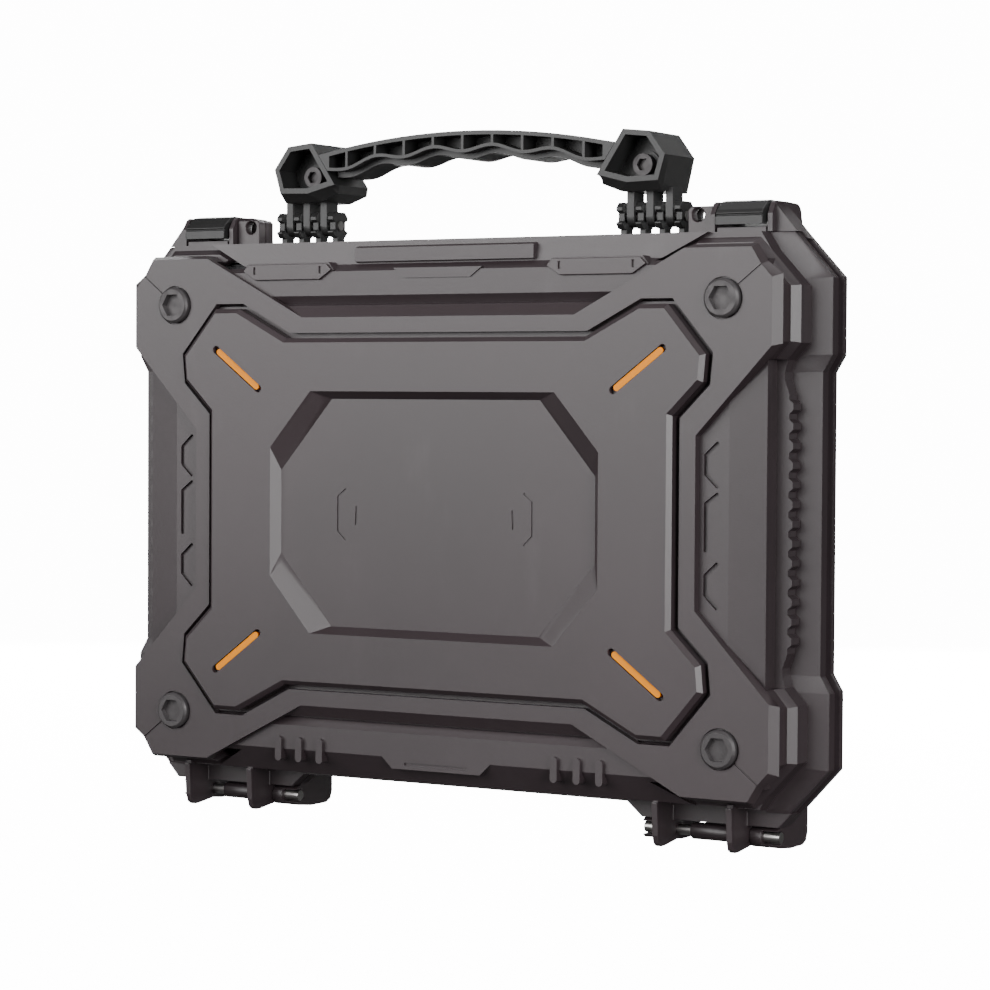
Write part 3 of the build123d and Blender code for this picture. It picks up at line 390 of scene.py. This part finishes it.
for entry in frame["record"]["subparts"]:
    piece = nodes[entry["node"]]
    piece.data.materials.clear()
    piece.data.materials.append(finishes[entry["material_slot"]])
    if entry["node"] in edgeRounding:
        roundEdges(piece, edgeRounding[entry["node"]])
print("nodes dressed")

foamSkin = {
    "voxel": 0.0028,
    "face": 0.0006,  # depth of the layer that counts as the open face
    "uneven": 0.0002,
}
baseFoam = {
    "pillow": 0.0011,  # how far each pluck cube's edge sinks
    "edge": 2.2,  # a larger number makes the sunk edges narrower
}
lidFoam = {
    "pitch": 0.0250,  # between two crests
    "depth": 0.0072,
    "rim": 0.007,  # flat border
    "rise": 0.006,  # from the border to full depth
}


def foamBlock(name, node, body, material):
    # foam cut to its cavity, as an even skin of small faces
    piece = bpy.data.objects.new(name, nodes[node].data.copy())
    bpy.context.scene.collection.objects.link(piece)
    weld = piece.modifiers.new("weld", "WELD")
    weld.merge_threshold = 0.00001
    skin = piece.modifiers.new("skin", "REMESH")
    skin.mode = "VOXEL"
    skin.voxel_size = foamSkin["voxel"]
    ready = piece.evaluated_get(bpy.context.evaluated_depsgraph_get())
    mesh = bpy.data.meshes.new_from_object(ready)
    piece.modifiers.clear()
    piece.data = mesh
    for face in mesh.polygons:
        face.use_smooth = True
    mesh.materials.clear()
    mesh.materials.append(material)
    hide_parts(node)
    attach(piece, body)
    return piece


def ripple(x, z):
    # small unevenness of cut foam
    return math.sin(x * 410 + 1.3 * math.sin(z * 260)) * math.sin(z * 370 + 1.1 * math.sin(x * 310))


def pluckFoam(look):
    piece = foamBlock("pluckFoam", "base_foam", "base", openFoam("pluckFoam", foamLook, slits=True))
    low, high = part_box("base_foam")
    for point in piece.data.vertices:
        x, y, z = point.co
        if y > low[1] + foamSkin["face"]:
            continue
        gaps = []
        for value, pitch in ((x, foamLook["slitX"]), (z - foamLook["middle"], foamLook["slitZ"])):
            gaps.append(abs(value / pitch - round(value / pitch)) * 2)
        edge = max(0.0, 1 - min(gaps) * look["edge"])
        point.co.y += look["pillow"] * edge ** 2 + foamSkin["uneven"] * (1 + ripple(x, z))


def crestedFoam(look):
    piece = foamBlock("crestedFoam", "lid_foam", "lid", finishes["foam"])
    low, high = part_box("lid_foam")
    half = (high[2] - low[2]) / 2
    for point in piece.data.vertices:
        x, y, z = point.co
        if y < high[1] - foamSkin["face"]:
            continue
        level = z - foamLook["middle"]
        inside = min(high[0] - abs(x), half - abs(level)) - look["rim"]
        reach = max(0.0, min(1.0, inside / look["rise"]))
        wave = math.cos(2 * math.pi * x / look["pitch"]) * math.cos(2 * math.pi * level / look["pitch"])
        point.co.y -= look["depth"] * reach * (0.5 - 0.5 * wave) + foamSkin["uneven"] * (1 + ripple(x, z))


pluckFoam(baseFoam)
crestedFoam(lidFoam)
print("foam cut")

studio = {
    "floor": (0.86, 0.86, 0.86, 1),
    "floorGlow": 14.0,
    "floorHeight": -0.09,  # low enough for the lid to hang open
    "reach": 3.4,  # from the middle to the backdrop
    "sweep": 0.9,  # radius of the bend
    "bends": 8,  # steps in the bend
    "height": 3.6,
    "sides": 64,
    "world": 0.07,
}
lights = {  # place, target, size and power of each softbox
    "keyLight": ((-1.10, -1.60, 0.80), (0, 0, 0.14), (1.7, 1.4), 32.0),
    "centreLight": ((-0.10, -2.05, 0.75), (0, 0, 0.14), (0.8, 1.2), 13.0),
    "fillLight": ((1.45, -0.87, 0.45), (0, 0, 0.14), (0.5, 1.2), 25.0),
    "backLight": ((-0.90, 1.60, 0.60), (0, 0, 0.14), (1.5, 1.2), 40.0),
    "backFillLight": ((-0.15, 1.90, 0.30), (0, 0, 0.14), (0.8, 1.0), 16.0),
    "topLight": ((0.2, 0.3, 1.8), (0, 0, 0.1), (1.6, 1.2), 9.0),
}


def addStudio(look):
    # pale floor that sweeps up all round the case
    mesh = bpy.data.meshes.new("studioFloor")
    build = bmesh.new()
    flat = look["reach"] - look["sweep"]
    profile = [(0.4 * flat, 0.0), (flat, 0.0)]
    for step in range(1, look["bends"] + 1):
        angle = math.radians(90 * step / look["bends"])
        profile.append((flat + look["sweep"] * math.sin(angle), look["sweep"] * (1 - math.cos(angle))))
    profile.append((look["reach"], look["height"]))
    rings = []
    for radius, z in profile:
        ring = []
        for step in range(look["sides"]):
            angle = 2 * math.pi * step / look["sides"]
            across, along = radius * math.cos(angle), radius * math.sin(angle)
            ring.append(build.verts.new((across, along, z + look["floorHeight"])))
        rings.append(ring)
    build.faces.new(rings[0])
    for inner, outer in zip(rings, rings[1:]):
        for step in range(look["sides"]):
            after = (step + 1) % look["sides"]
            build.faces.new((inner[step], outer[step], outer[after], inner[after]))
    build.to_mesh(mesh)
    build.free()
    for face in mesh.polygons:
        face.use_smooth = True
    floor = bpy.data.objects.new("studioFloor", mesh)
    floor.visible_diffuse = False
    floor.visible_glossy = False
    bpy.context.scene.collection.objects.link(floor)
    material, place, shader = newMaterial("studioPaper")
    tint = place.noise(2.0, 2.0).mix(look["floor"], tuple(0.98 * part for part in look["floor"][:3]) + (1,))
    feed(shader, place, colour=tint, rough=0.9)
    shader.inputs["Emission Color"].default_value = (1, 1, 1, 1)
    shader.inputs["Emission Strength"].default_value = look["floorGlow"]
    mesh.materials.append(material)


def addLight(name, place, target, size, power):
    data = bpy.data.lights.new(name, "AREA")
    data.shape = "RECTANGLE"
    data.size, data.size_y = size
    data.energy = power
    light = bpy.data.objects.new(name, data)
    light.location = place
    light.rotation_euler = (Vector(target) - Vector(place)).to_track_quat("-Z", "Y").to_euler()
    bpy.context.scene.collection.objects.link(light)


addStudio(studio)
world = bpy.data.worlds.new("studio")
world.use_nodes = True
world.node_tree.nodes["Background"].inputs["Color"].default_value = (1, 1, 1, 1)
world.node_tree.nodes["Background"].inputs["Strength"].default_value = studio["world"]
bpy.context.scene.world = world
for name, values in lights.items():
    addLight(name, *values)
print("studio lit")
